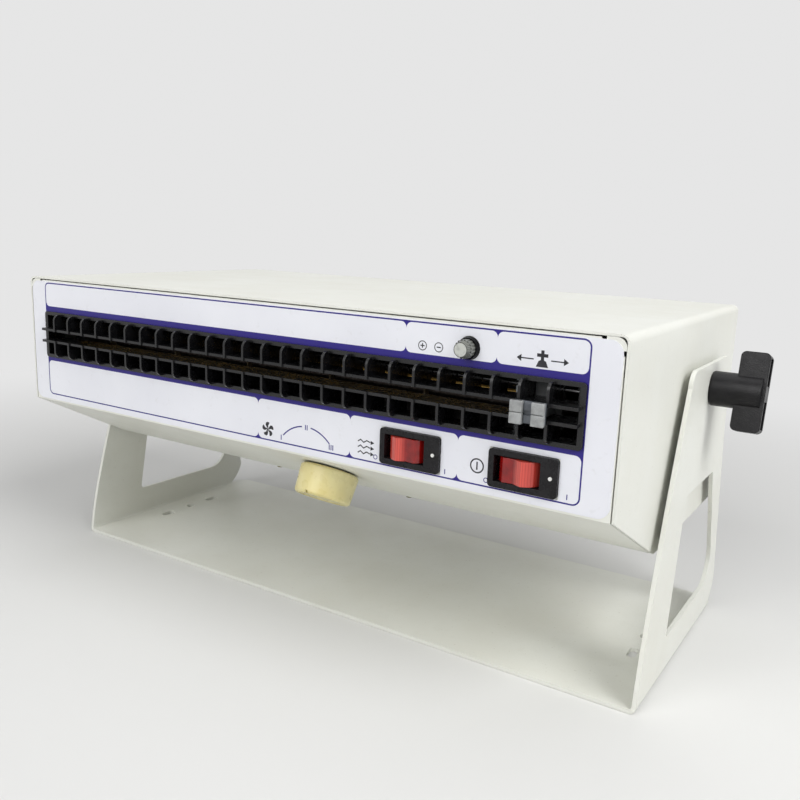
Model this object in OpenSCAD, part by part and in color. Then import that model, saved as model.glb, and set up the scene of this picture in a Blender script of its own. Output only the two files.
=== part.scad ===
// Benchtop ionizing blower on a tilting stand, millimetres.
// Origin: centre of the underside of the stand's base. +X to the user's right
// when facing the air outlet, -Y towards the user, +Z up.

/* [Housing] */
// Width of the housing over its side panels
body_w = 432; // [380:1:530]
// Depth of the housing, front panel to rear wall
body_d = 230; // [200:1:290]
// Height of the housing
body_h = 126; // [116:1:160]
// Height of the front panel above the sloped chin
panel_h = 87.5; // [86:0.5:106]
// How far back the sloped chin runs under the front panel
chin_run = 75; // [60:1:84]
// Thickness of the housing sheet metal
sheet_t = 1.2; // [0.8:0.1:1.6]
// Outer bend radius along the cover's top edges
cover_bend_r = 4; // [2:0.5:6]
// Visible gap between the front panel and the cover
seam_gap = 0.7; // [0.4:0.1:1.2]
// Corner radius of the front panel
panel_corner_r = 5; // [3:0.5:7]
// Thickness of the label laid on the front panel
label_t = 0.4; // [0.2:0.1:0.6]

/* [Stand] */
// Sheet thickness of the stand
stand_t = 2.5; // [2:0.1:4]
// Depth of the stand's base
stand_d = 175; // [150:1:210]
// Height of the stand's legs
leg_h = 178; // [172:1:214]
// Depth of a leg at its top end
leg_top_d = 86; // [70:1:98]
// How far the leg's front edge leans back from base to top
leg_front_lean = 54; // [40:1:66]
// Height of the tilt axis above the table
pivot_z = 163; // [150:1:190]
// Distance of the tilt axis behind the front panel
pivot_back = 144; // [120:1:160]
// Height of the housing's top above the tilt axis
pivot_down = 43; // [36:1:52]
// Gap between a leg and the housing's side
side_gap = 4; // [3:0.5:6]
// Bend radius between the base and the legs, outside
stand_bend_r = 4; // [3:0.5:8]
// Distance of the mounting holes from the leg's outer face
hole_inset = 21; // [16:1:30]
// Distance of each mounting slot from the round hole between them
slot_step = 25; // [20:1:35]
// Length of a mounting slot
slot_len = 12.5; // [10:0.5:18]
// Width of a mounting slot
slot_w = 5.6; // [4.5:0.1:7]
// Diameter of the round mounting hole
round_hole_d = 6.6; // [5:0.1:9]

/* [Air outlet] */
// Width of the outlet grille
grille_w = 397; // [360:1:408]
// Height of the outlet grille
grille_h = 32; // [30:1:35]
// Distance of the grille's centre below the housing's top
grille_drop = 39.4; // [38:0.1:44]
// Number of cells along the grille
cells = 27; // [20:1:33]
// Thickness of a grille vane
vane_t = 1.5; // [1:0.1:2.2]
// How far the vanes stand out of the grille's frame
vane_out = 5; // [3:0.5:7]
// Height of the slot that the cleaner runs in
slot_h = 6.4; // [5:0.1:8]
// Thickness of the rails above and below the slot
rail_t = 1.6; // [1.2:0.1:2.4]

/* [Fan] */
// Outer diameter of the cross-flow wheel
wheel_d = 62; // [50:1:66]
// Number of blades
blades = 30; // [20:1:40]
// Thickness of a blade
blade_t = 0.8; // [0.6:0.1:1.2]
// Diameter of the fan shaft
shaft_d = 6; // [5:0.5:8]
// Distance of the wheel's axis behind the front panel
wheel_back = 126; // [112:1:140]
// Distance of the wheel's axis below the housing's top
wheel_drop = 66; // [62:1:72]
// Length of the motor bay at the right end of the housing
motor_bay = 62; // [56:1:70]

/* [Controls] */
// Diameter of the fan speed knob
knob_d = 36; // [28:1:40]
// Height of the fan speed knob
knob_h = 18; // [14:0.5:24]
// Distance of the fan speed knob right of the middle
knob_x = 33.5; // [20:0.5:45]
// Width of a rocker switch bezel
bezel_w = 36.5; // [30:0.5:40]
// Height of a rocker switch bezel
bezel_h = 19.7; // [17:0.1:22]
// Distance of the power switch from the panel's right edge
power_inset = 46.3; // [40:0.1:52]
// Distance between the two rocker switches
switch_pitch = 64.5; // [52:0.5:70]
// Angle that a rocker turns between its two positions
rocker_throw = 20; // [14:1:24]
// Diameter of the indicator's ring
lamp_d = 11.7; // [9:0.1:14]
// Width of the cleaner's finger grip
grip_w = 20; // [16:0.5:24]
// Height of the cleaner's finger grip
grip_h = 11.5; // [10:0.5:14]

/* [Clamp knobs] */
// Length of the T handle
handle_l = 46; // [36:1:56]
// Diameter of the T handle's boss
boss_d = 20.5; // [16:0.5:24]
// Length of the boss under the T handle
boss_l = 14; // [10:1:20]
// Diameter of the clamp studs
stud_d = 7.9; // [5.9:0.1:9.9]
// Angle of the T handles about the tilt axis at rest
handle_turn = 14; // [0:1:45]

/* [Hidden] */
$fn = 64;
eps = 0.01;

// Main planes of the housing
stand_w = body_w + 2 * (side_gap + stand_t);
leg_x = stand_w / 2;
pivot_y = 10.5;
front_y = pivot_y - pivot_back;
back_y = front_y + body_d;
top_z = pivot_z + pivot_down;
bottom_z = top_z - body_h;
lip_z = top_z - panel_h;
chin_drop = body_h - panel_h;
chin_len = sqrt(chin_run * chin_run + chin_drop * chin_drop);
chin_tilt = atan(chin_drop / chin_run);
inner_w = body_w - 2 * sheet_t;
// A clearance between sheets that slide over each other
fit = 0.1;
// A clearance around parts of other bodies
run_gap = 0.4;

// Outlet
grille_z = top_z - grille_drop;
grille_frame_out = 2;
grille_wall = 1.8;
grille_depth = 9;
cell_pitch = (grille_w - 2 * grille_wall) / cells;
rail_z = slot_h / 2 + rail_t / 2;
grille_back_y = front_y + sheet_t + grille_depth;

// Fan
wheel_y = front_y + wheel_back;
wheel_z = top_z - wheel_drop;
wheel_r = wheel_d / 2;
fan_x0 = -grille_w / 2;
fan_x1 = body_w / 2 - motor_bay;
wheel_x0 = fan_x0 + 10;
wheel_x1 = fan_x1 - 6;
plate_t = 1.2;
scroll_t = 1;
duct_top = grille_z + grille_h / 2 + 1;
duct_bottom = grille_z - grille_h / 2 - 1;
// Where the duct meets the back of the grille
duct_front_y = grille_back_y + 0.3;

// Cleaner and emitters: a guide rod behind the grille, then the carriage and the points
guide_d = 2.4;
guide_y = grille_back_y + 2.2;
guide_rise = 9;
arm_back_y = guide_y + 1.9;
emitter_gap = 9;
// How far the emitter points stand out of their bar
needle_out = 5;
emitter_y = arm_back_y + emitter_gap;
// Front edge of the fan's end plates, behind the cleaner's path
plate_front_y = emitter_y - 0.6;

// Controls
power_x = body_w / 2 - power_inset;
warm_x = power_x - switch_pitch;
switch_drop = 71.2;
switch_z = top_z - switch_drop;
bezel_t = 2.2;
rocker_w = 23.5;
rocker_h = 12.4;
rocker_shift = -3;
rocker_pin_d = 3;
rocker_pivot_y = front_y + rocker_w / 2 - 5.4;
lamp_x = body_w / 2 - 79.2;
lamp_z = top_z - 14;
knob_along = 29.4;
spindle_d = 6.35;
park_x = grille_w / 2 - 22.9;
grip_y = front_y - grille_frame_out - vane_out;

// Clamp knobs
leg_bore_d = stud_d + 0.16;
handle_w = 16;
handle_t = 11.5;
insert_l = 12;
insert_d = 15;

// Side profile of the housing, y across and z up, offset inwards by d
function chin_inset(d) = d * tan((90 - chin_tilt) / 2);
function lip_inset(d) = d * tan(chin_tilt / 2);
function body_profile(d) = [
    [front_y + d, top_z - d],
    [front_y + d, lip_z + chin_inset(d)],
    [front_y + chin_run + lip_inset(d), bottom_z + d],
    [back_y - d, bottom_z + d],
    [back_y - d, top_z - d]
];

// Draws a y-z outline as a plate that runs from x0 to x1
module along_x(x0, x1) {
    translate([x0, 0, 0]) rotate([90, 0, 90]) linear_extrude(x1 - x0) children();
}

// Draws an x-z outline as a plate that runs from y0 to y1
module along_y(y0, y1) {
    translate([0, y1, 0]) rotate([90, 0, 0]) linear_extrude(y1 - y0) children();
}

module rounded_rect(w, h, r) {
    hull() for (x = [-1, 1], y = [-1, 1]) translate([x * (w / 2 - r), y * (h / 2 - r)]) circle(r, $fn = 32);
}

// The same outline made only of rectangles and circles, so that edges stay true
module round_plate(w, h, r) {
    square([w - 2 * r, h], center = true);
    square([w, h - 2 * r], center = true);
    for (x = [-1, 1], y = [-1, 1]) translate([x * (w / 2 - r), y * (h / 2 - r)]) circle(r);
}

// A slot of length l and width w that runs along y
module slot_y(l, w) {
    square([w, l - w], center = true);
    for (s = [-1, 1]) translate([0, s * (l - w) / 2]) circle(d = w);
}

// Places its children on the chin: x along the housing, y up the slope, z out of the metal
module on_chin(x, along) {
    translate([x, front_y, lip_z]) rotate([180 - chin_tilt, 0, 0]) translate([0, -along, 0]) children();
}

// A screw with a domed head on +z and its shank on -z
module screw(head_d, head_h, shank_d, shank_l) {
    cylinder(d = head_d, h = head_h * 0.45);
    translate([0, 0, head_h * 0.45]) cylinder(d1 = head_d, d2 = head_d * 0.62, h = head_h * 0.55);
    translate([0, 0, -shank_l]) cylinder(d = shank_d, h = shank_l + eps);
}

// ---- Stand ----

leg_back_lean = stand_d - leg_front_lean - leg_top_d;
leg_corner_r = 9;
// Radius of the trimmed corners at the back of the base
base_corner_r = 28;
// The window's lower and upper edges
window_z0 = 24;
window_z1 = min(105, pivot_z - boss_d / 2 - 12);
// Metal left in front of and behind the window at its lower and upper edge
front_band = [46, 36];
back_band = [20, 25];

// y of the leg's front and back edges at height z, measured from the base's front edge
function leg_front(z) = leg_front_lean * pow(z / leg_h, 1.3);
function leg_back(z) = stand_d - leg_back_lean * z / leg_h;

module leg_outline() {
    steps = 12;
    r = leg_corner_r;
    difference() {
        union() {
            polygon(concat(
                [for (i = [0:steps]) [leg_front((leg_h - r) * i / steps), (leg_h - r) * i / steps]],
                [[leg_back(leg_h - r), leg_h - r], [leg_back(0), 0]]
            ));
            // rounded top corners
            hull() {
                translate([leg_front(leg_h - r) + r, leg_h - r]) circle(r);
                translate([leg_back(leg_h - r) - r, leg_h - r]) circle(r);
            }
        }
        // rounded lower corner at the back
        translate([stand_d - base_corner_r, 0]) difference() {
            translate([0, -1]) square([base_corner_r + 1, base_corner_r + 1]);
            translate([-base_corner_r * 0.1, base_corner_r]) circle(base_corner_r * 1.01);
        }
    }
}

module window_outline() {
    r = 3;
    back_r = 18;
    hull() {
        translate([leg_front(window_z0) + front_band[0] + r, window_z0 + r]) circle(r, $fn = 32);
        translate([leg_front(window_z1) + front_band[1] + r, window_z1 - r]) circle(r, $fn = 32);
        translate([leg_back(window_z1) - back_band[1] - r, window_z1 - r]) circle(r, $fn = 32);
        translate([leg_back(window_z0) - back_band[0] - back_r, window_z0 + back_r]) circle(back_r, $fn = 32);
    }
}

// Cross-section of the bent bracket seen from the front
module stand_section() {
    r = stand_bend_r;
    difference() {
        translate([-leg_x, 0]) square([stand_w, leg_h]);
        translate([-leg_x + stand_t, stand_t]) square([stand_w - 2 * stand_t, leg_h]);
        for (s = [-1, 1]) translate([s * (leg_x - r), r]) difference() {
            translate([s > 0 ? 0 : -r - 1, -r - 1]) square(r + 1);
            circle(r);
        }
    }
    // inner bend
    for (s = [-1, 1]) translate([s * (leg_x - stand_t), stand_t]) difference() {
        translate([s > 0 ? -(r - stand_t) : 0, 0]) square(r - stand_t);
        translate([-s * (r - stand_t), r - stand_t]) circle(r - stand_t);
    }
}

module stand() {
    color("ivory") difference() {
        translate([0, -stand_d / 2, 0]) {
            difference() {
                along_y(0, stand_d) stand_section();
                difference() {
                    along_x(-leg_x - 1, leg_x + 1) translate([-1, stand_t + eps]) square([stand_d + 2, leg_h]);
                    along_x(-leg_x - 2, leg_x + 2) leg_outline();
                }
                along_x(-leg_x - 1, leg_x + 1) window_outline();
            }
        }
        translate([-leg_x - 1, pivot_y, pivot_z]) rotate([0, 90, 0]) cylinder(d = leg_bore_d, h = stand_w + 2);
        // trimmed rear corners of the base
        for (s = [-1, 1]) translate([s * leg_x, stand_d / 2, -1]) linear_extrude(stand_bend_r + 1) difference() {
            translate([s > 0 ? -12 : -1, -12]) square(13);
            translate([-s * 12, -12]) circle(12);
        }
        for (s = [-1, 1]) translate([s * (leg_x - hole_inset), 0, -1]) {
            cylinder(d = round_hole_d, h = stand_t + 2);
            for (k = [-1, 1]) translate([0, k * slot_step, 0]) linear_extrude(stand_t + 2) slot_y(slot_len, slot_w);
        }
    }
}

// Plain washers that hold each leg away from the housing
module stand_washers() {
    color("gainsboro") for (s = [-1, 1]) translate([s * (body_w / 2 + side_gap / 2), pivot_y, pivot_z])
        rotate([0, 90, 0]) difference() {
            cylinder(d = 22, h = side_gap, center = true);
            cylinder(d = stud_d + 0.16, h = side_gap + 2, center = true);
        }
}

// ---- Housing sheet metal ----

rear_open_w = fan_x1 - fan_x0 - 30;
rear_open_x = (fan_x0 + fan_x1) / 2;
rear_open_h = 84;
rear_open_z = bottom_z + 16 + rear_open_h / 2;
inlet_x = body_w / 2 - 36;
inlet_z = top_z - 38;
inlet_w = 27;
inlet_h = 19.6;
side_screw_y = [front_y + 90, back_y - 16];
side_screw_z = bottom_z + 7.5;
floor_screw_y = [side_screw_y[0] + 8, pivot_y + 6, side_screw_y[1] - 16];
// Places its children at the screws under the housing
module at_floor_screws() {
    for (s = [-1, 1], y = floor_screw_y) translate([s * (body_w / 2 - 8), y, bottom_z]) children();
    for (s = [-1, 1]) translate([s * 55, front_y + chin_run + 8, bottom_z]) children();
}

// Round reliefs at the ends of the panel's seams
relief_d = 2.5;
relief_x = 12;
relief_drop = 8.6;
// The rear wall's rim stays below the bend of the cover
rear_rim_drop = cover_bend_r - sheet_t;

module front_cutouts() {
    along_y(front_y - 2, front_y + sheet_t + 1) {
        translate([0, grille_z]) square([grille_w - 3, grille_h - 2], center = true);
        for (x = [warm_x, power_x]) translate([x, switch_z]) square([bezel_w - 4, bezel_h - 4], center = true);
        translate([lamp_x, lamp_z]) circle(d = 8.2);
    }
}

// Outline of the front panel: as wide as the cover allows at its upper corners,
// and a seam narrower below and between them
module panel_outline(corner = panel_corner_r) {
    wide = inner_w - 2 * fit;
    high = top_z - sheet_t - fit;
    difference() {
        union() {
            translate([-wide / 2 + corner, high - corner]) square([wide - 2 * corner, corner]);
            translate([-wide / 2, bottom_z]) square([wide, high - corner - bottom_z]);
            for (s = [-1, 1]) translate([s * (wide / 2 - corner), high - corner]) circle(corner);
        }
        // seams along the top and the sides, each ending in a round relief
        translate([-body_w / 2 + relief_x, high - seam_gap + fit]) square([body_w - 2 * relief_x, 2]);
        for (s = [-1, 1]) {
            translate([s * (body_w / 2 - relief_x), high - seam_gap]) circle(d = relief_d);
            translate([s * (inner_w / 2 - seam_gap), top_z - relief_drop]) circle(d = relief_d);
            translate([s > 0 ? inner_w / 2 - seam_gap : -inner_w / 2 - 2, bottom_z - 1])
                square([seam_gap + 2, body_h + 1 - relief_drop]);
        }
    }
}

// Front panel, chin, floor and rear wall, folded from one sheet
module chassis() {
    w = inner_w - 2 * seam_gap;
    rim_z = top_z - sheet_t - seam_gap;
    color("whitesmoke") difference() {
        union() {
            // the folded sheet, without the front panel's upper end
            along_x(-w / 2, w / 2) difference() {
                polygon(body_profile(0));
                polygon(body_profile(sheet_t));
                translate([front_y - 1, top_z - 20]) square([20, 21]);
                translate([front_y - 1, rim_z - rear_rim_drop]) square([body_d + 2, 20]);
            }
            // the front panel's upper end
            along_y(front_y, front_y + sheet_t) intersection() {
                panel_outline();
                translate([-body_w / 2, top_z - 21]) square([body_w, 21]);
            }
            // flanges folded back inside the cover's sides
            for (s = [-1, 1]) along_x(s > 0 ? w / 2 - sheet_t : -w / 2, s > 0 ? w / 2 : -w / 2 + sheet_t)
                difference() {
                    polygon(body_profile(0));
                    polygon(body_profile(14));
                    translate([front_y - 1, top_z - 20]) square([body_d + 2, 21]);
                }
            // top flange of the front panel
            translate([-body_w / 2 + relief_x + 6, front_y + sheet_t / 2, rim_z - sheet_t])
                cube([body_w - 2 * relief_x - 12, 12, sheet_t]);
        }
        front_cutouts();
        // hole for the speed switch's bushing
        on_chin(knob_x, knob_along) cylinder(d = 10, h = 20, center = true);
        // rear intake, mains inlet and its screws
        along_y(back_y - 4, back_y + 1) {
            translate([rear_open_x, rear_open_z]) square([rear_open_w, rear_open_h], center = true);
            translate([inlet_x, inlet_z]) square([inlet_w + 0.4, inlet_h + 0.4], center = true);
            for (s = [-1, 1]) translate([inlet_x + s * 20, inlet_z]) circle(d = 3.6);
        }
        // holes for the floor screws and the cover's side screws
        at_floor_screws() translate([0, 0, -1]) cylinder(d = 3.6, h = 4);
        for (y = side_screw_y) translate([-body_w, y, side_screw_z]) rotate([0, 90, 0]) cylinder(d = 4, h = 2 * body_w);
    }
}

// Top and both sides, folded from one sheet over the chassis
module cover() {
    color("ivory") difference() {
        intersection() {
            along_x(-body_w / 2, body_w / 2) polygon(body_profile(0));
            along_y(front_y, back_y + 1) difference() {
                union() {
                    translate([-body_w / 2, bottom_z - 1]) square([body_w, body_h + 1 - cover_bend_r]);
                    translate([-body_w / 2 + cover_bend_r, top_z - cover_bend_r - 1]) square([body_w - 2 * cover_bend_r, cover_bend_r + 1]);
                    for (s = [-1, 1]) translate([s * (body_w / 2 - cover_bend_r), top_z - cover_bend_r]) circle(cover_bend_r);
                }
                cover_inside();
            }
        }
        translate([-body_w, pivot_y, pivot_z]) rotate([0, 90, 0]) cylinder(d = 13, h = 2 * body_w);
        for (y = side_screw_y) translate([-body_w, y, side_screw_z]) rotate([0, 90, 0]) cylinder(d = 4.4, h = 2 * body_w);
    }
}

module cover_inside() {
    r = cover_bend_r - sheet_t;
    translate([-inner_w / 2, bottom_z - 2]) square([inner_w, body_h + 2 - sheet_t - r]);
    translate([-inner_w / 2 + r, top_z - cover_bend_r - 1]) square([inner_w - 2 * r, cover_bend_r + 1 - sheet_t]);
    for (s = [-1, 1]) translate([s * (inner_w / 2 - r), top_z - cover_bend_r]) circle(r);
}

// Printed label over the front panel, cut out around the controls
module front_label() {
    w = inner_w - 2 * seam_gap - 1;
    top = top_z - sheet_t - seam_gap - 0.8;
    low = lip_z + 1.2;
    color("aliceblue") along_y(front_y - label_t, front_y) difference() {
        translate([0, (top + low) / 2]) round_plate(w, top - low, panel_corner_r + 1.5);
        translate([0, grille_z]) square([grille_w + 0.4, grille_h + 0.4], center = true);
        for (x = [warm_x, power_x]) translate([x, switch_z]) square([bezel_w + 0.4, bezel_h + 0.4], center = true);
        translate([lamp_x, lamp_z]) circle(d = lamp_d + 0.4);
    }
}

// Pan-head screws that hold the cover to the chassis flanges
module cover_screws() {
    color("dimgray") for (s = [-1, 1], y = side_screw_y) translate([s * body_w / 2, y, side_screw_z])
        rotate([0, s * 90, 0]) screw(7.4, 2.2, 3.9, 8);
}

// Zinc-plated screws under the floor
module floor_screws() {
    color("darkkhaki") at_floor_screws() rotate([180, 0, 0]) screw(6.6, 3, 3.5, 8);
}

// Threaded inserts behind the housing's sides that take the clamp studs
module pivot_inserts() {
    color("silver") for (s = [-1, 1]) translate([s * (body_w / 2 - sheet_t), pivot_y, pivot_z])
        rotate([0, -s * 90, 0]) difference() {
            union() {
                cylinder(d = insert_d, h = insert_l, $fn = 6);
                translate([0, 0, -sheet_t]) cylinder(d = 12.8, h = sheet_t + 1);
                cylinder(d = 26, h = 1.6);
            }
            translate([0, 0, -sheet_t - 1]) cylinder(d = stud_d + 0.1, h = insert_l + sheet_t + 2);
        }
}

// ---- Outlet grille and cleaner ----

// Side view of one vane: full depth behind, rounded nose in front of the frame
module vane_profile(z0, z1) {
    nose_y = front_y - grille_frame_out - vane_out;
    r = vane_out * 0.8;
    translate([nose_y + r, z0]) square([grille_back_y - nose_y - r, z1 - z0]);
    translate([nose_y, z0 + r]) square([r + 1, z1 - z0 - 2 * r]);
    for (z = [z0 + r, z1 - r]) translate([nose_y + r, z]) circle(r, $fn = 32);
}

module outlet_grille() {
    frame_y = front_y - grille_frame_out;
    half = grille_h / 2 - grille_wall;
    color("black") {
        difference() {
            union() {
                // flange that laps over the panel
                along_y(frame_y, front_y) translate([0, grille_z]) round_plate(grille_w, grille_h, 2);
                // body that drops through the panel
                along_y(front_y - eps, grille_back_y) translate([0, grille_z])
                    square([grille_w - 3.4, grille_h - 2.4], center = true);
            }
            along_y(frame_y - 1, grille_back_y + 1) translate([0, grille_z])
                square([grille_w - 2 * grille_wall - 2, 2 * half - 1], center = true);
        }
        difference() {
            union() {
                for (i = [1:cells - 1]) {
                    x = -grille_w / 2 + grille_wall + i * cell_pitch;
                    along_x(x - vane_t / 2, x + vane_t / 2) vane_profile(grille_z - half - 0.6, grille_z + half + 0.6);
                }
                // rails above and below the cleaner's slot
                for (s = [-1, 1]) translate([0, 0, grille_z + s * rail_z]) grille_rail();
            }
            // the slot that the cleaner runs in
            along_x(-grille_w / 2 + grille_wall + 2, grille_w / 2 - grille_wall - 2)
                translate([front_y - 20, grille_z - slot_h / 2]) square([60, slot_h]);
        }
        rod_blocks();
    }
}

// Blocks behind the grille's ends that hold the guide rod
module rod_blocks() {
    for (s = [-1, 1]) difference() {
        translate([s * (grille_w / 2 - 5) - 2.5, grille_back_y - 1, grille_z + guide_rise - 4]) cube([5, 5.6, 8]);
        translate([s * (grille_w / 2 - 5) - 4, guide_y, grille_z + guide_rise]) rotate([0, 90, 0]) cylinder(d = guide_d, h = 8);
    }
}

// One rail: a bar right through the grille that stands out past the vanes' ends
module grille_rail() {
    w = grille_w - 2 * grille_wall;
    translate([-w / 2, front_y - grille_frame_out - vane_out + 0.8, -rail_t / 2])
        cube([w, grille_depth + sheet_t + grille_frame_out + vane_out - 0.8, rail_t]);
}

// Rod behind the grille that the cleaner's carriage slides along
module cleaner_rail() {
    color("silver") translate([-grille_w / 2 + 3, guide_y, grille_z + guide_rise]) rotate([0, 90, 0]) cylinder(d = guide_d, h = grille_w - 6);
}

module cleaner_grip() {
    block_w = grip_w * 0.38;
    depth = 5.5;
    color("silver") translate([park_x, grip_y, grille_z]) {
        difference() {
            union() {
                translate([-grip_w / 2, -depth, -grip_h / 2]) cube([grip_w, depth - run_gap, grip_h]);
            }
            // recess between the two finger blocks
            translate([-grip_w / 2 + block_w, -depth - 1, -grip_h / 2 - 1]) cube([grip_w - 2 * block_w, depth - 1, grip_h + 2]);
            // grip grooves
            for (s = [-1, 1], k = [-1, 0, 1])
                translate([s * (grip_w - block_w) / 2 - block_w / 2 - 1, -depth - 0.5, k * grip_h / 3.6 - 0.3])
                    cube([block_w + 2, 1.1, 0.6]);
        }
    }
}

// Stem through the slot and the carriage behind the grille
module cleaner_arm() {
    color("gray") difference() {
        union() {
            translate([park_x - 4, grip_y - run_gap, grille_z - slot_h / 2 + run_gap])
                cube([8, arm_back_y - grip_y + run_gap, slot_h - 2 * run_gap]);
            translate([park_x - 7, grille_back_y + run_gap, grille_z - 11]) cube([14, arm_back_y - grille_back_y - run_gap, 23]);
        }
        translate([park_x - 20, guide_y, grille_z + guide_rise]) rotate([0, 90, 0]) cylinder(d = guide_d + 0.1, h = 40);
    }
}

// Bristles that wipe the emitter points
module cleaner_brush() {
    color("dimgray") for (k = [-2:2])
        translate([park_x + k * 2.4, arm_back_y, grille_z])
            rotate([-90, 0, 0]) cylinder(d = 1.8, h = emitter_gap - needle_out - run_gap, $fn = 16);
}

// ---- Rear intake ----

rear_frame_w = rear_open_w + 20;
rear_frame_h = rear_open_h + 16;
slats = 11;

module rear_grille() {
    color("black") difference() {
        union() {
            along_y(back_y, back_y + 3) translate([rear_open_x, rear_open_z]) round_plate(rear_frame_w, rear_frame_h, 4);
            along_y(back_y - sheet_t - 6, back_y + eps) translate([rear_open_x, rear_open_z]) difference() {
                square([rear_open_w - 0.6, rear_open_h - 0.6], center = true);
                square([rear_open_w - 4, rear_open_h - 4], center = true);
            }
        }
        // louvre openings in three bays
        bay = (rear_open_w - 12) / 3;
        for (b = [-1:1], i = [0:slats - 1])
            translate([rear_open_x + b * (bay + 2), 0, rear_open_z - rear_open_h / 2 + 4 + (i + 0.5) * (rear_open_h - 8) / slats])
                along_y(back_y - 1, back_y + 4) square([bay - 2, (rear_open_h - 8) / slats - 2.6], center = true);
        for (s = [-1, 1], k = [-1, 1])
            translate([rear_open_x + s * (rear_frame_w / 2 - 5), 0, rear_open_z + k * (rear_frame_h / 2 - 5)])
                along_y(back_y - 1, back_y + 4) circle(d = 3.4);
    }
}

// Foam pad clipped behind the intake grille
module air_filter() {
    color("darkslategray") along_y(back_y - sheet_t - 5.6, back_y - 0.1) translate([rear_open_x, rear_open_z])
        square([rear_open_w - 4.4, rear_open_h - 4.4], center = true);
}

module grille_screws() {
    color("silver") for (s = [-1, 1], k = [-1, 1])
        translate([rear_open_x + s * (rear_frame_w / 2 - 5), back_y + 3, rear_open_z + k * (rear_frame_h / 2 - 5)])
            rotate([-90, 0, 0]) screw(6, 1.8, 3.2, 2.9);
}

// ---- Fan ----

tongue_y = wheel_y - wheel_r - 4;
scroll_start = -35;
// Radius of the scroll at angle a, from a running gap to the top of the duct
function scroll_r(a) = wheel_r + 3 + (duct_top - wheel_z - wheel_r - 3) * (a - scroll_start) / (90 - scroll_start);
scroll_steps = 16;
scroll_points = [for (i = [0:scroll_steps]) let (a = scroll_start + (90 - scroll_start) * i / scroll_steps)
    [wheel_y + scroll_r(a) * cos(a), wheel_z + scroll_r(a) * sin(a)]];
scroll_outer = [for (i = [scroll_steps:-1:0]) let (a = scroll_start + (90 - scroll_start) * i / scroll_steps)
    [wheel_y + (scroll_r(a) + scroll_t) * cos(a), wheel_z + (scroll_r(a) + scroll_t) * sin(a)]];

// Curved back wall and roof of the air duct
module scroll_casing() {
    color("lightgray") along_x(fan_x0 + plate_t + fit, fan_x1 - plate_t - fit)
        polygon(concat(scroll_points, [[duct_front_y, duct_top], [duct_front_y, duct_top + scroll_t]], scroll_outer));
}

// Floor of the air duct, with a rolled edge beside the wheel
module outlet_tongue() {
    color("lightgray") along_x(fan_x0 + plate_t + fit, fan_x1 - plate_t - fit) {
        translate([duct_front_y, duct_bottom - scroll_t]) square([tongue_y - duct_front_y - 2, scroll_t]);
        translate([tongue_y - 2, duct_bottom - 2.5]) circle(2.5);
        translate([tongue_y - 30, duct_bottom - 14]) square([scroll_t, 14]);
    }
}

// Plates that close the duct's ends and carry the fan
module fan_end_plates() {
    color("lightgray") for (x = [fan_x0, fan_x1 - plate_t]) difference() {
        along_x(x, x + plate_t) polygon([
            [plate_front_y, duct_bottom - scroll_t - 3], [plate_front_y, duct_top + 5],
            [wheel_y + wheel_r + 14, duct_top + 5], [back_y - 12, wheel_z + 10],
            [back_y - 12, bottom_z + sheet_t + fit], [front_y + chin_run + 18, bottom_z + sheet_t + fit],
            [front_y + chin_run, duct_bottom - scroll_t - 3]
        ]);
        translate([x - 1, wheel_y, wheel_z]) rotate([0, 90, 0]) cylinder(d = 16, h = plate_t + 2);
    }
}

bearing_w = 6;

module fan_bearings() {
    color("goldenrod") for (x = [fan_x0 + plate_t / 2, fan_x1 - plate_t / 2]) translate([x, wheel_y, wheel_z])
        rotate([0, 90, 0]) difference() {
            union() {
                cylinder(d = 15.9, h = bearing_w, center = true);
                translate([0, 0, x < 0 ? -bearing_w / 2 : bearing_w / 2 - 1.6]) cylinder(d = 20, h = 1.6);
            }
            cylinder(d = shaft_d + 0.1, h = bearing_w + 2, center = true);
        }
}

// Cross-flow wheel: curved blades between discs
module fan_wheel() {
    span = wheel_x1 - wheel_x0;
    disc_t = 1.6;
    ring_r = wheel_r - 11;
    blade_r = 9;
    color("gray") translate([wheel_x0, wheel_y, wheel_z]) rotate([90, 0, 90]) difference() {
        union() {
            for (i = [0:blades - 1]) rotate([0, 0, i * 360 / blades]) linear_extrude(span) intersection() {
                translate([wheel_r - 6.2, -blade_r * 0.62]) difference() {
                    circle(blade_r, $fn = 32);
                    circle(blade_r - blade_t, $fn = 32);
                }
                translate([ring_r + 1, -2.5]) square([wheel_r - ring_r - 1.6, 12]);
                circle(wheel_r - 0.3);
            }
            for (k = [0:4]) translate([0, 0, k * (span - disc_t) / 4]) linear_extrude(disc_t) difference() {
                circle(wheel_r);
                if (k > 0 && k < 4) circle(ring_r);
            }
            for (z = [-1, span - 7]) translate([0, 0, z]) cylinder(d = 14, h = 8);
        }
        translate([0, 0, -5]) cylinder(d = shaft_d + 0.04, h = span + 10);
    }
}

shaft_x0 = fan_x0 - 5;
shaft_x1 = body_w / 2 - 14;

module fan_shaft() {
    color("silver") translate([shaft_x0, wheel_y, wheel_z]) rotate([0, 90, 0]) cylinder(d = shaft_d, h = shaft_x1 - shaft_x0);
}

stator_x0 = fan_x1 + 13;
stator_l = 22;
rotor_d = 27;

module motor_rotor() {
    color("silver") translate([stator_x0 - 2, wheel_y, wheel_z]) rotate([0, 90, 0]) difference() {
        cylinder(d = rotor_d, h = stator_l + 4);
        translate([0, 0, -1]) cylinder(d = shaft_d + 0.04, h = stator_l + 6);
    }
}

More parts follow.
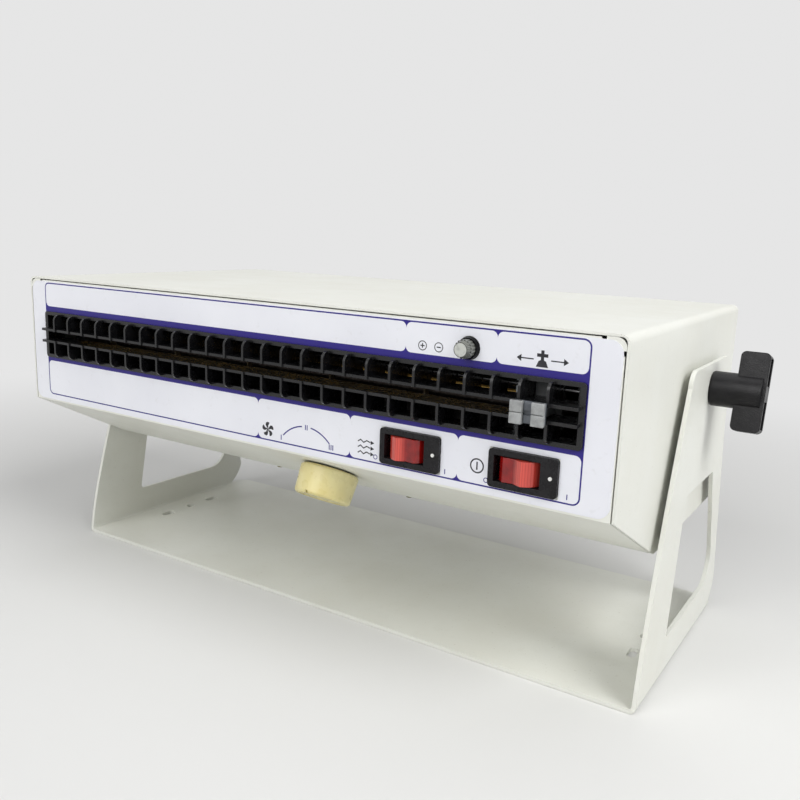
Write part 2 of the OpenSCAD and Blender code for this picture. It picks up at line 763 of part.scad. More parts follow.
// Laminated stator with four coils
module motor_stator() {
    side = 58;
    color("darkgoldenrod") translate([stator_x0, wheel_y, wheel_z]) rotate([90, 0, 90]) difference() {
        union() {
            linear_extrude(stator_l) round_plate(side, side, 6);
            for (k = [0:3]) rotate([0, 0, k * 90]) translate([rotor_d / 2 + 6.5, 0, stator_l / 2])
                cube([9, 24, stator_l + 10], center = true);
        }
        translate([0, 0, -10]) cylinder(d = rotor_d + 1, h = stator_l + 20);
        for (k = [0:3]) rotate([0, 0, 45 + k * 90]) translate([rotor_d / 2 + 5, 0, -1]) cylinder(d = 9, h = stator_l + 2);
        for (k = [0:3]) rotate([0, 0, 45 + k * 90]) translate([side * 0.58, 0, -1]) cylinder(d = 4.2, h = stator_l + 2);
    }
}

// Spacers between the stator and the fan's end plate
module motor_bracket() {
    side = 58;
    color("silver") translate([fan_x1, wheel_y, wheel_z]) rotate([90, 0, 90])
        for (k = [0:3]) rotate([0, 0, 45 + k * 90]) translate([side * 0.58, 0, 0]) {
            cylinder(d = 8, h = stator_x0 - fan_x1);
            cylinder(d = 4.1, h = stator_x0 - fan_x1 + stator_l + 3);
            translate([0, 0, stator_x0 - fan_x1 + stator_l]) cylinder(d = 7.5, h = 3.2, $fn = 6);
        }
}

// ---- Heater and ionizer ----

heater_y = front_y + 62;
heater_d = 22;

// Insulating cards with notches that hold the heating coils
module heater_frame() {
    x0 = fan_x0 + plate_t + fit;
    x1 = fan_x1 - plate_t - fit;
    color("tan") {
        for (k = [0:5]) translate([x0 + 1 + k * (x1 - x0 - 3.2) / 5, heater_y - heater_d / 2, duct_bottom]) difference() {
            cube([1.2, heater_d, duct_top - duct_bottom]);
            for (r = [0:2], c = [0:1]) translate([-1, heater_d * (0.3 + 0.4 * c), (r + 0.5) * (duct_top - duct_bottom) / 3])
                rotate([0, 90, 0]) cylinder(d = 5.4, h = 4, $fn = 24);
        }
    }
}

// Heating coils strung through the cards
module heater_coils() {
    x0 = fan_x0 + plate_t + 2;
    color("dimgray") for (r = [0:2], c = [0:1])
        translate([x0, heater_y - heater_d / 2 + heater_d * (0.3 + 0.4 * c), duct_bottom + (r + 0.5) * (duct_top - duct_bottom) / 3])
            rotate([0, 90, 0]) difference() {
                cylinder(d = 5.2, h = fan_x1 - fan_x0 - 8, $fn = 24);
                translate([0, 0, -1]) cylinder(d = 3.4, h = fan_x1 - fan_x0, $fn = 24);
            }
}

needles = 14;
bar_x0 = fan_x0 + plate_t + fit;
bar_x1 = fan_x1 - plate_t - fit;
needle_step = (bar_x1 - bar_x0) / needles;

// Insulating bar across the outlet that carries the emitter points
module emitter_bar() {
    color("goldenrod") translate([bar_x0, emitter_y, grille_z - 2.5]) difference() {
        cube([bar_x1 - bar_x0, 5, 5]);
        for (i = [0:needles - 1]) translate([(i + 0.5) * needle_step, -1, 2.5]) rotate([-90, 0, 0]) cylinder(d = 1.5, h = 8, $fn = 16);
    }
}

// Pointed emitter pins
module emitter_needles() {
    color("silver") for (i = [0:needles - 1]) translate([bar_x0 + (i + 0.5) * needle_step, emitter_y + 6, grille_z]) rotate([90, 0, 0]) {
        cylinder(d = 1.5, h = 6, $fn = 16);
        translate([0, 0, 6]) cylinder(d1 = 1.5, d2 = 0.3, h = needle_out, $fn = 16);
    }
}

module high_voltage_unit() {
    w = 34;
    color("dimgray") translate([fan_x1 + 4, back_y - 62, bottom_z + sheet_t]) {
        cube([w, 46, 40]);
        translate([w / 2, 0, 30]) rotate([90, 0, 0]) cylinder(d = 9, h = 8);
    }
}

module terminal_block() {
    n = 5;
    pitch = 7;
    color("beige") translate([fan_x1 + 14, front_y + chin_run + 22, bottom_z + sheet_t]) difference() {
        cube([16, n * pitch, 14]);
        for (i = [0:n - 1]) translate([8, (i + 0.5) * pitch, 6]) cylinder(d = 4.4, h = 10, $fn = 24);
    }
}

// ---- Controls ----

// Moulded knob, drawn from the chin outwards
module speed_knob() {
    color("khaki") on_chin(knob_x, knob_along) translate([0, 0, 1]) difference() {
        union() {
            translate([0, 0, 1.2]) cylinder(d1 = knob_d, d2 = knob_d - 1.6, h = knob_h - 2.4, $fn = 96);
            cylinder(d1 = knob_d - 2, d2 = knob_d, h = 1.2, $fn = 96);
            translate([0, 0, knob_h - 1.2]) cylinder(d1 = knob_d - 1.6, d2 = knob_d - 4, h = 1.2, $fn = 96);
        }
        // shallow dish and pointer groove in the face
        translate([0, 0, knob_h - 0.6]) cylinder(d = knob_d - 7, h = 2);
        translate([-0.8, knob_d / 2 - 9, knob_h - 1.6]) cube([1.6, 12, 3]);
        // hollow underside and the spindle's hole
        difference() {
            translate([0, 0, -1]) cylinder(d = knob_d - 5, h = knob_h - 5);
            translate([0, 0, -2]) cylinder(d = 13, h = knob_h);
        }
        translate([0, 0, -3]) cylinder(d = 14, h = 9);
        translate([0, 0, -1]) cylinder(d = spindle_d, h = knob_h - 3);
    }
}

module speed_spindle() {
    color("silver") on_chin(knob_x, knob_along) translate([0, 0, -12]) cylinder(d = spindle_d, h = 12 + knob_h - 3);
}

// Four-position switch behind the chin, with its threaded bushing
module speed_switch() {
    color("tan") on_chin(knob_x, knob_along) difference() {
        union() {
            translate([0, 0, -sheet_t - 16]) linear_extrude(16) round_plate(30, 34, 3);
            translate([0, 0, -sheet_t - eps]) cylinder(d = 9.5, h = sheet_t + 5);
            for (x = [-10, -3.5, 3.5, 10]) translate([x - 1.5, 12, -sheet_t - 25]) cube([3, 0.8, 10]);
        }
        translate([0, 0, -13]) cylinder(d = spindle_d + 0.1, h = 30);
    }
}

module speed_switch_nut() {
    color("silver") on_chin(knob_x, knob_along) difference() {
        cylinder(d = 12.6, h = 3, $fn = 6);
        translate([0, 0, -1]) cylinder(d = 9.5, h = 6);
    }
}

// Bezel, body and terminals of one rocker switch
module rocker_bezel(x) {
    deep = 22;
    color("black") translate([x, front_y, switch_z]) difference() {
        union() {
            along_y(-bezel_t, 0) round_plate(bezel_w, bezel_h, 2);
            along_y(-eps, deep) square([bezel_w - 4.4, bezel_h - 4.4], center = true);
            for (k = [-1, 0, 1]) translate([k * 9 - 3, deep - eps, -0.4]) cube([6, 9, 0.8]);
        }
        // well for the rocker
        translate([rocker_shift, 0, 0]) along_y(-bezel_t - 1, deep - 5) square([rocker_w + 1, rocker_h + 1], center = true);
    }
    // stub pins that the rocker turns on
    color("black") for (s = [-1, 1]) translate([x + rocker_shift, rocker_pivot_y, switch_z + s * (rocker_h / 2 + 0.2)])
        cylinder(d = rocker_pin_d, h = 3.4, center = true);
}

// Concave rocker, drawn at its middle position about its own pivot
module rocker_shape() {
    face = 1.6;
    color("red") difference() {
        along_z(rocker_h) difference() {
            intersection() {
                circle(rocker_w / 2 - 0.1);
                translate([-rocker_w / 2, -rocker_w / 2]) square([rocker_w, rocker_w * 0.8]);
            }
            // two faces that meet in a shallow valley
            for (s = [-1, 1]) rotate([0, 0, 0]) polygon([
                [0, -rocker_w / 2 + 4.6 - face], [s * rocker_w, -rocker_w / 2 + 4.6 - face - rocker_w * tan(18)],
                [s * rocker_w, -rocker_w * 2], [0, -rocker_w * 2]
            ]);
        }
        cylinder(d = rocker_pin_d + 0.1, h = rocker_h + 4, center = true);
    }
}

module along_z(h) {
    translate([0, 0, -h / 2]) linear_extrude(h) children();
}

module rocker(x, side) {
    translate([x + rocker_shift, rocker_pivot_y, switch_z]) rotate([0, 0, side * rocker_throw / 2]) rocker_shape();
}

module warm_bezel() { rocker_bezel(warm_x); }
module power_bezel() { rocker_bezel(power_x); }
module warm_rocker() { rocker(warm_x, 1); }
module power_rocker() { rocker(power_x, -1); }

// Status dots beside the rockers
module switch_dots() {
    color("white") for (x = [warm_x, power_x]) translate([x + bezel_w / 2 - 3.6, front_y - bezel_t, switch_z])
        rotate([90, 0, 0]) cylinder(d = 1.9, h = 0.5, $fn = 24);
}

module indicator_ring() {
    color("black") translate([lamp_x, front_y, lamp_z]) rotate([90, 0, 0]) difference() {
        union() {
            cylinder(d1 = lamp_d, d2 = lamp_d - 1, h = 3);
            translate([0, 0, -10]) cylinder(d = 8, h = 10 + eps);
        }
        translate([0, 0, -6]) cylinder(d = 6, h = 20);
        translate([0, 0, 0.6]) cylinder(d = 9.7, h = 4);
    }
}

// Fluted lens that tapers to its face
module indicator_lens() {
    flutes = 16;
    color("lightgray") translate([lamp_x, front_y, lamp_z]) rotate([90, 0, 0]) {
        translate([0, 0, 0.6]) difference() {
            cylinder(d = 9.6, h = 6.4);
            for (i = [0:flutes - 1]) rotate([0, 0, i * 360 / flutes]) translate([5.1, 0, -1]) cylinder(r = 0.7, h = 9, $fn = 16);
        }
        translate([0, 0, 6.9]) cylinder(d1 = 8.8, d2 = 7.4, h = 2.6);
        translate([0, 0, -5.9]) cylinder(d = 5.9, h = 7);
    }
}

// ---- Mains inlet ----

inlet_deep = 20;
inlet_flange_w = 50;

// Recessed three-pin inlet with its screw flange
module mains_inlet() {
    color("black") translate([inlet_x, back_y, inlet_z]) difference() {
        union() {
            along_y(0, 3.2) round_plate(inlet_flange_w, inlet_h + 3, 5);
            along_y(-inlet_deep, eps) round_plate(inlet_w, inlet_h, 2);
        }
        along_y(-inlet_deep + 3, 4) polygon([
            [-12, -8], [12, -8], [12, 3.5], [7.5, 8], [-7.5, 8], [-12, 3.5]
        ]);
        for (s = [-1, 1]) translate([s * 20, 0, 0]) rotate([90, 0, 0]) cylinder(d = 3.4, h = 20, center = true);
        for (p = [[-7, -2], [7, -2], [0, 2]]) translate([p[0] - 1, -inlet_deep - 1, p[1] - 2]) cube([2, 6, 4]);
    }
}

module inlet_pins() {
    color("silver") for (p = [[-7, -2], [7, -2], [0, 2]])
        translate([inlet_x + p[0] - 1, back_y - inlet_deep - 6, inlet_z + p[1] - 2]) cube([2, inlet_deep + 3, 4]);
}

module inlet_screws() {
    color("silver") for (s = [-1, 1]) translate([inlet_x + s * 20, back_y + 3.2, inlet_z])
        rotate([-90, 0, 0]) screw(5.8, 1.8, 3.2, 9);
}

// ---- Clamp knobs ----

// T handle with a round boss; drawn along +z away from the leg
module t_handle() {
    outer = boss_l + handle_w;
    wing_r = 3;
    difference() {
        union() {
            cylinder(d1 = boss_d - 1, d2 = boss_d, h = 1);
            translate([0, 0, 1]) cylinder(d = boss_d, h = outer - 3);
            translate([0, 0, boss_l]) rotate([90, 0, 0]) translate([0, handle_w / 2, -handle_t / 2])
                linear_extrude(handle_t) round_plate(handle_l, handle_w, wing_r);
        }
        // hollow outer face with a rib across it
        for (s = [-1, 1]) translate([s * (handle_l / 4 + 1), 0, outer - 3]) linear_extrude(4)
            square([handle_l / 2 - 7, handle_t - 3.6], center = true);
        translate([0, 0, -1]) cylinder(d = stud_d + 0.04, h = boss_l + 9);
    }
}

module clamp_knob(s) {
    color("black") translate([s * (leg_x + 0.1), pivot_y, pivot_z])
        rotate([-s * handle_turn, 0, 0]) rotate([0, s * 90, 0]) t_handle();
}

module clamp_stud(s) {
    stud_l = boss_l + 8 + 0.1 + stand_t + side_gap + insert_l;
    color("silver") translate([s * (leg_x + boss_l + 8), pivot_y, pivot_z]) rotate([0, -s * 90, 0]) cylinder(d = stud_d, h = stud_l);
}

module left_clamp_knob() { clamp_knob(-1); }
module right_clamp_knob() { clamp_knob(1); }
module left_clamp_stud() { clamp_stud(-1); }
module right_clamp_stud() { clamp_stud(1); }

stand();
stand_washers();
chassis();
cover();
front_label();
cover_screws();
floor_screws();
pivot_inserts();
outlet_grille();
cleaner_rail();
rear_grille();
air_filter();
grille_screws();
scroll_casing();
outlet_tongue();
fan_end_plates();
fan_bearings();
fan_wheel();
fan_shaft();
motor_rotor();
motor_stator();
motor_bracket();
heater_frame();
heater_coils();
emitter_bar();
emitter_needles();
high_voltage_unit();
terminal_block();
speed_knob();
speed_spindle();
speed_switch();
speed_switch_nut();
warm_bezel();
warm_rocker();
power_bezel();
power_rocker();
switch_dots();
indicator_ring();
indicator_lens();
cleaner_grip();
cleaner_arm();
cleaner_brush();
mains_inlet();
inlet_pins();
inlet_screws();
left_clamp_knob();
right_clamp_knob();
left_clamp_stud();
right_clamp_stud();
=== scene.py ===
import math

import bmesh
import bpy
from mathutils import Matrix, Vector
from mathutils.geometry import tessellate_polygon


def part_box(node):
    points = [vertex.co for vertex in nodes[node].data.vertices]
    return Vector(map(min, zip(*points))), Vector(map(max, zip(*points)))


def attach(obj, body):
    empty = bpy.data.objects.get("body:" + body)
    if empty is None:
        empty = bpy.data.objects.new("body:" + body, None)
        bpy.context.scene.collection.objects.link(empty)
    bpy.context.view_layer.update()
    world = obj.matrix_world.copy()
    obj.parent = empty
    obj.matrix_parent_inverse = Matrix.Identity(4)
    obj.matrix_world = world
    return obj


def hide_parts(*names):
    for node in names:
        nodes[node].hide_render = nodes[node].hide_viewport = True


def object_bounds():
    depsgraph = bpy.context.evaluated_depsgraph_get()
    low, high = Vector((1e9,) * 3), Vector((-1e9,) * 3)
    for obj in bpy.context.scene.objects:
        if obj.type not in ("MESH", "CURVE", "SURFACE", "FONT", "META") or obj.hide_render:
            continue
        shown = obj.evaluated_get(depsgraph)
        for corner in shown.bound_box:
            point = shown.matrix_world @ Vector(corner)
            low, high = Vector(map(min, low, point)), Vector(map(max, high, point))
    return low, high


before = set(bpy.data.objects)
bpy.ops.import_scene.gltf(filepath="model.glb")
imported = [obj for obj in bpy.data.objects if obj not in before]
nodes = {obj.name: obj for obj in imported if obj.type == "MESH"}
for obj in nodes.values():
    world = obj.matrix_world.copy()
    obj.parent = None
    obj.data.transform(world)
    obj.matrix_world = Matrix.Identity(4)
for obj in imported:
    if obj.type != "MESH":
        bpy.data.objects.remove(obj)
cad_low, cad_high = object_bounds()
MM = 0.001

# ---------------------------------------------------------------- camera

EYE = Vector((0.326, -0.4944, 0.2485))
YAW, PITCH, ROLL = math.radians(32.34), math.radians(11.66), math.radians(2.05)
LENS, SENSOR = 37.53, 36


def make_camera():
    level = math.cos(PITCH)
    forward = Vector((-math.sin(YAW) * level, math.cos(YAW) * level, -math.sin(PITCH)))
    right = Vector((math.cos(YAW), math.sin(YAW), 0))
    up = right.cross(forward)
    r = math.cos(ROLL) * right + math.sin(ROLL) * up
    u = -math.sin(ROLL) * right + math.cos(ROLL) * up
    camera = bpy.data.objects.new("camera", bpy.data.cameras.new("camera"))
    camera.matrix_world = Matrix((
        (r.x, u.x, -forward.x, EYE.x),
        (r.y, u.y, -forward.y, EYE.y),
        (r.z, u.z, -forward.z, EYE.z),
        (0, 0, 0, 1)))
    camera.data.lens = LENS
    camera.data.sensor_width = SENSOR
    camera.data.clip_start = 0.01
    bpy.context.scene.collection.objects.link(camera)
    bpy.context.scene.camera = camera


# ---------------------------------------------------------------- light and floor

BACK = 0.79              # how bright the background looks
WORLD_LIGHT = 0.21       # how much light the world gives the object
LAMPS = (                # name, place, size and power; each aims at the object's middle
    ("right", (1.9, -0.5, 1.7), 1.5, 45),
    ("front", (-0.3, -2.0, 1.45), 1.7, 30),
    ("top", (0.1, 0.3, 2.2), 1.6, 9))
AIM = Vector((0, 0, 0.1))
FLOOR_COLOUR = (0.74, 0.74, 0.73, 1)
FLOOR_RADIUS = 9
FLOOR_DROP = 0.0002      # keeps the floor just under the stand's base
FADE = 0.32, 0.95        # the floor fades into the background between these distances


def area_light(name, place, size, power):
    lamp = bpy.data.lights.new(name, "AREA")
    lamp.shape = "SQUARE"
    lamp.size = size
    lamp.energy = power
    o = bpy.data.objects.new(name, lamp)
    o.location = place
    o.rotation_euler = (AIM - Vector(place)).to_track_quat("-Z", "Y").to_euler()
    bpy.context.scene.collection.objects.link(o)


def seen_directly(tree):
    """1 where a camera, glossy or transmission ray looks, 0 for the light that falls on the object."""
    path = tree.nodes.new("ShaderNodeLightPath")
    seen = path.outputs["Is Camera Ray"]
    for kind in ("Is Glossy Ray", "Is Transmission Ray"):
        either = tree.nodes.new("ShaderNodeMath")
        either.operation = "MAXIMUM"
        tree.links.new(seen, either.inputs[0])
        tree.links.new(path.outputs[kind], either.inputs[1])
        seen = either.outputs[0]
    return seen


def make_world():
    world = bpy.data.worlds.new("studio")
    bpy.context.scene.world = world
    world.use_nodes = True
    tree = world.node_tree
    tree.nodes.clear()
    lit = tree.nodes.new("ShaderNodeBackground")
    lit.inputs["Color"].default_value = (1.0, 1.0, 1.0, 1)
    lit.inputs["Strength"].default_value = WORLD_LIGHT
    seen = tree.nodes.new("ShaderNodeBackground")
    seen.inputs["Color"].default_value = (BACK, BACK, BACK, 1)
    seen.inputs["Strength"].default_value = 1
    mix = tree.nodes.new("ShaderNodeMixShader")
    out = tree.nodes.new("ShaderNodeOutputWorld")
    tree.links.new(seen_directly(tree), mix.inputs[0])
    tree.links.new(lit.outputs[0], mix.inputs[1])
    tree.links.new(seen.outputs[0], mix.inputs[2])
    tree.links.new(mix.outputs[0], out.inputs[0])


def make_floor():
    """A pale floor that keeps the object's shadow and fades into the background further out."""
    bm = bmesh.new()
    bmesh.ops.create_circle(bm, cap_ends=True, segments=96, radius=FLOOR_RADIUS)
    mesh = bpy.data.meshes.new("floor")
    bm.to_mesh(mesh)
    bm.free()
    floor = bpy.data.objects.new("floor", mesh)
    floor.location = (0, 0, cad_low[2] - FLOOR_DROP)
    bpy.context.scene.collection.objects.link(floor)
    mat = bpy.data.materials.new("floor")
    mat.use_nodes = True
    tree = mat.node_tree
    tree.nodes.clear()
    cloth = tree.nodes.new("ShaderNodeBsdfDiffuse")
    cloth.inputs["Color"].default_value = FLOOR_COLOUR
    far = tree.nodes.new("ShaderNodeEmission")
    far.inputs["Color"].default_value = (BACK, BACK, BACK, 1)
    place = tree.nodes.new("ShaderNodeTexCoord")
    length = tree.nodes.new("ShaderNodeVectorMath")
    length.operation = "LENGTH"
    tree.links.new(place.outputs["Object"], length.inputs[0])
    fade = tree.nodes.new("ShaderNodeMapRange")
    fade.interpolation_type = "SMOOTHSTEP"
    fade.inputs["From Min"].default_value = FADE[0]
    fade.inputs["From Max"].default_value = FADE[1]
    tree.links.new(length.outputs["Value"], fade.inputs["Value"])
    amount = tree.nodes.new("ShaderNodeMath")
    amount.operation = "MULTIPLY"
    tree.links.new(fade.outputs[0], amount.inputs[0])
    tree.links.new(seen_directly(tree), amount.inputs[1])
    mix = tree.nodes.new("ShaderNodeMixShader")
    out = tree.nodes.new("ShaderNodeOutputMaterial")
    tree.links.new(amount.outputs[0], mix.inputs[0])
    tree.links.new(cloth.outputs[0], mix.inputs[1])
    tree.links.new(far.outputs[0], mix.inputs[2])
    tree.links.new(mix.outputs[0], out.inputs[0])
    mesh.materials.append(mat)


# ---------------------------------------------------------------- materials

def linear(r, g, b):
    """An 8-bit display colour as the linear colour that a shader takes."""
    return tuple(((c / 255 + 0.055) / 1.055) ** 2.4 if c > 10 else c / 255 / 12.92
                 for c in (r, g, b)) + (1,)


class Finish:
    """A Principled material whose colour, roughness and surface relief come from procedural nodes."""

    def __init__(self, name, colour, rough, metal=0.0, specular=0.5, coat=0.0):
        self.mat = bpy.data.materials.new(name)
        self.mat.use_nodes = True
        self.tree = self.mat.node_tree
        self.shader = self.tree.nodes["Principled BSDF"]
        self.shader.inputs["Metallic"].default_value = metal
        self.shader.inputs["Roughness"].default_value = rough
        self.shader.inputs["Specular IOR Level"].default_value = specular
        self.shader.inputs["Coat Weight"].default_value = coat
        self.shader.inputs["Base Color"].default_value = linear(*colour)
        self.mat.diffuse_color = linear(*colour)
        self.rough = rough
        self.colour = linear(*colour)
        self.normal = None

    def node(self, kind, **inputs):
        n = self.tree.nodes.new("ShaderNode" + kind)
        for name, value in inputs.items():
            n.inputs[name.replace("_", " ")].default_value = value
        return n

    def join(self, out, into):
        self.tree.links.new(out, into)

    def place(self, stretch=(1, 1, 1)):
        coord = self.node("TexCoord")
        if stretch == (1, 1, 1):
            return coord.outputs["Object"]
        mapping = self.node("Mapping")
        mapping.inputs["Scale"].default_value = stretch
        self.join(coord.outputs["Object"], mapping.inputs["Vector"])
        return mapping.outputs[0]

    def noise(self, size, detail=2.0, stretch=(1, 1, 1)):
        """Noise whose features are about size metres."""
        n = self.node("TexNoise", Scale=1 / size, Detail=detail, Roughness=0.55)
        self.join(self.place(stretch), n.inputs["Vector"])
        return n.outputs["Fac"]

    def ranged(self, value, low, high, to_low=0.0, to_high=1.0):
        m = self.node("MapRange")
        m.inputs["From Min"].default_value = low
        m.inputs["From Max"].default_value = high
        m.inputs["To Min"].default_value = to_low
        m.inputs["To Max"].default_value = to_high
        self.join(value, m.inputs["Value"])
        return m.outputs[0]

    def blend(self, amount, other, strength=1.0):
        """Mixes another colour over what is there, by a 0 to 1 value."""
        mix = self.tree.nodes.new("ShaderNodeMix")
        mix.data_type = "RGBA"
        if strength < 1.0:
            scaled = self.node("Math")
            scaled.operation = "MULTIPLY"
            scaled.inputs[1].default_value = strength
            self.join(amount, scaled.inputs[0])
            amount = scaled.outputs[0]
        self.join(amount, mix.inputs["Factor"])
        if isinstance(self.colour, tuple):
            mix.inputs["A"].default_value = self.colour
        else:
            self.join(self.colour, mix.inputs["A"])
        mix.inputs["B"].default_value = linear(*other)
        self.colour = mix.outputs["Result"]
        self.join(self.colour, self.shader.inputs["Base Color"])
        return self

    def mottle(self, other, size=0.02, low=0.35, high=0.7, strength=1.0, detail=3.0, stretch=(1, 1, 1)):
        """Patches of another colour, about size metres across."""
        return self.blend(self.ranged(self.noise(size, detail, stretch), low, high), other, strength)

    def uneven_gloss(self, size=0.012, spread=0.08, stretch=(1, 1, 1)):
        noise = self.noise(size, 3.0, stretch)
        value = self.ranged(noise, 0.3, 0.7, self.rough - spread, self.rough + spread)
        self.join(value, self.shader.inputs["Roughness"])
        return self

    def soft_edges(self, radius=0.0003):
        """Edges that catch the light as if rounded."""
        bevel = self.node("Bevel", Radius=radius)
        bevel.samples = 4
        self.normal = bevel.outputs[0]
        self.join(self.normal, self.shader.inputs["Normal"])
        return self

    def relief(self, size, depth, detail=2.0, stretch=(1, 1, 1)):
        """Fine bumps, depth metres deep, over whatever normal is there."""
        bump = self.node("Bump", Strength=1.0, Distance=depth)
        self.join(self.noise(size, detail, stretch), bump.inputs["Height"])
        if self.normal is not None:
            self.join(self.normal, bump.inputs["Normal"])
        self.normal = bump.outputs[0]
        self.join(self.normal, self.shader.inputs["Normal"])
        return self


def rocker_red(name, node, side):
    """Clear red plastic with a painted highlight: one half of the face is paler pink, fading toward its outer
    edge, and fine bands over the inner ribs darken it.
    """
    lo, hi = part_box(node)
    middle, reach = (lo.x + hi.x) / 2, (hi.x - lo.x) / 2
    red = Finish(name, (146, 16, 13), 0.16, specular=0.4)
    red.mottle((112, 8, 8), 0.005)
    where = red.node("SeparateXYZ")
    red.join(red.place(), where.inputs[0])
    # Painted highlight: the lit half of the rocker's face, paler pink and fading toward its outer edge.
    half = red.ranged(where.outputs["X"], middle - 0.12 * side * reach, middle + 0.12 * side * reach)
    near, far = middle + 0.35 * side * reach, middle + side * reach
    edge = red.ranged(where.outputs["X"], far, near, 0.45, 1.0)
    painted_highlight_mask = red.node("Math")
    painted_highlight_mask.operation = "MULTIPLY"
    red.join(half, painted_highlight_mask.inputs[0])
    red.join(edge, painted_highlight_mask.inputs[1])
    red.blend(painted_highlight_mask.outputs[0], (214, 84, 72), 0.85)
    ribs = red.node("TexWave", Scale=260.0, Distortion=0.6)
    ribs.wave_type = "BANDS"
    ribs.bands_direction = "X"
    red.join(red.place(), ribs.inputs["Vector"])
    red.blend(red.ranged(ribs.outputs["Fac"], 0.72, 1.0), (120, 10, 10), 0.4)
    red.shader.inputs["Coat Weight"].default_value = 0.4
    return red.soft_edges(0.0004).relief(0.0008, 0.00002)


def fluted_lens():
    """Clear plastic lens with painted light: a painted reflection on its flat front, painted shade in a rim
    around it, and painted highlights in bands down its fluted side.
    """
    lo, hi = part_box("indicator_lens")
    radius = (hi.x - lo.x) / 2
    lens = Finish("lens_smoke", (92, 94, 89), 0.1)
    lens.shader.inputs["IOR"].default_value = 1.49
    centred = lens.node("Mapping")
    centred.inputs["Location"].default_value = (-(lo.x + hi.x) / 2, 0, -(lo.z + hi.z) / 2)
    centred.inputs["Scale"].default_value = (1, 0, 1)
    lens.join(lens.place(), centred.inputs["Vector"])
    split = lens.node("SeparateXYZ")
    lens.join(centred.outputs[0], split.inputs[0])
    # Painted highlights: light bands around the lens, one for each flute down its side.
    angle = lens.node("Math")
    angle.operation = "ARCTAN2"
    lens.join(split.outputs["X"], angle.inputs[0])
    lens.join(split.outputs["Z"], angle.inputs[1])
    turns = lens.node("Math")
    turns.operation = "MULTIPLY"
    turns.inputs[1].default_value = 30
    lens.join(angle.outputs[0], turns.inputs[0])
    wave = lens.node("Math")
    wave.operation = "SINE"
    lens.join(turns.outputs[0], wave.inputs[0])
    lens.blend(lens.ranged(wave.outputs[0], 0.1, 0.9), (150, 152, 146), 0.7)
    lens.mottle((52, 53, 50), 0.0022, 0.5, 0.62, 0.7)
    # Painted reflection on the flat front that faces forward, and painted shade in a dark rim around it.
    out = lens.node("VectorMath")
    out.operation = "LENGTH"
    lens.join(centred.outputs[0], out.inputs[0])
    facing = lens.node("SeparateXYZ")
    lens.join(lens.node("TexCoord").outputs["Normal"], facing.inputs[0])
    front = lens.ranged(facing.outputs["Y"], -0.7, -0.95)
    face = lens.node("Math")
    face.operation = "MULTIPLY"
    lens.join(front, face.inputs[0])
    lens.join(lens.ranged(out.outputs["Value"], 0.73 * radius, 0.67 * radius), face.inputs[1])
    painted_rim_shade = lens.node("Math")
    painted_rim_shade.operation = "SUBTRACT"
    lens.join(front, painted_rim_shade.inputs[0])
    lens.join(face.outputs[0], painted_rim_shade.inputs[1])
    lens.blend(painted_rim_shade.outputs[0], (48, 49, 47)).blend(face.outputs[0], (190, 192, 186))
    return lens.mottle((142, 144, 140), 0.0022, 0.5, 0.7, 0.6).relief(0.0006, 0.00003)


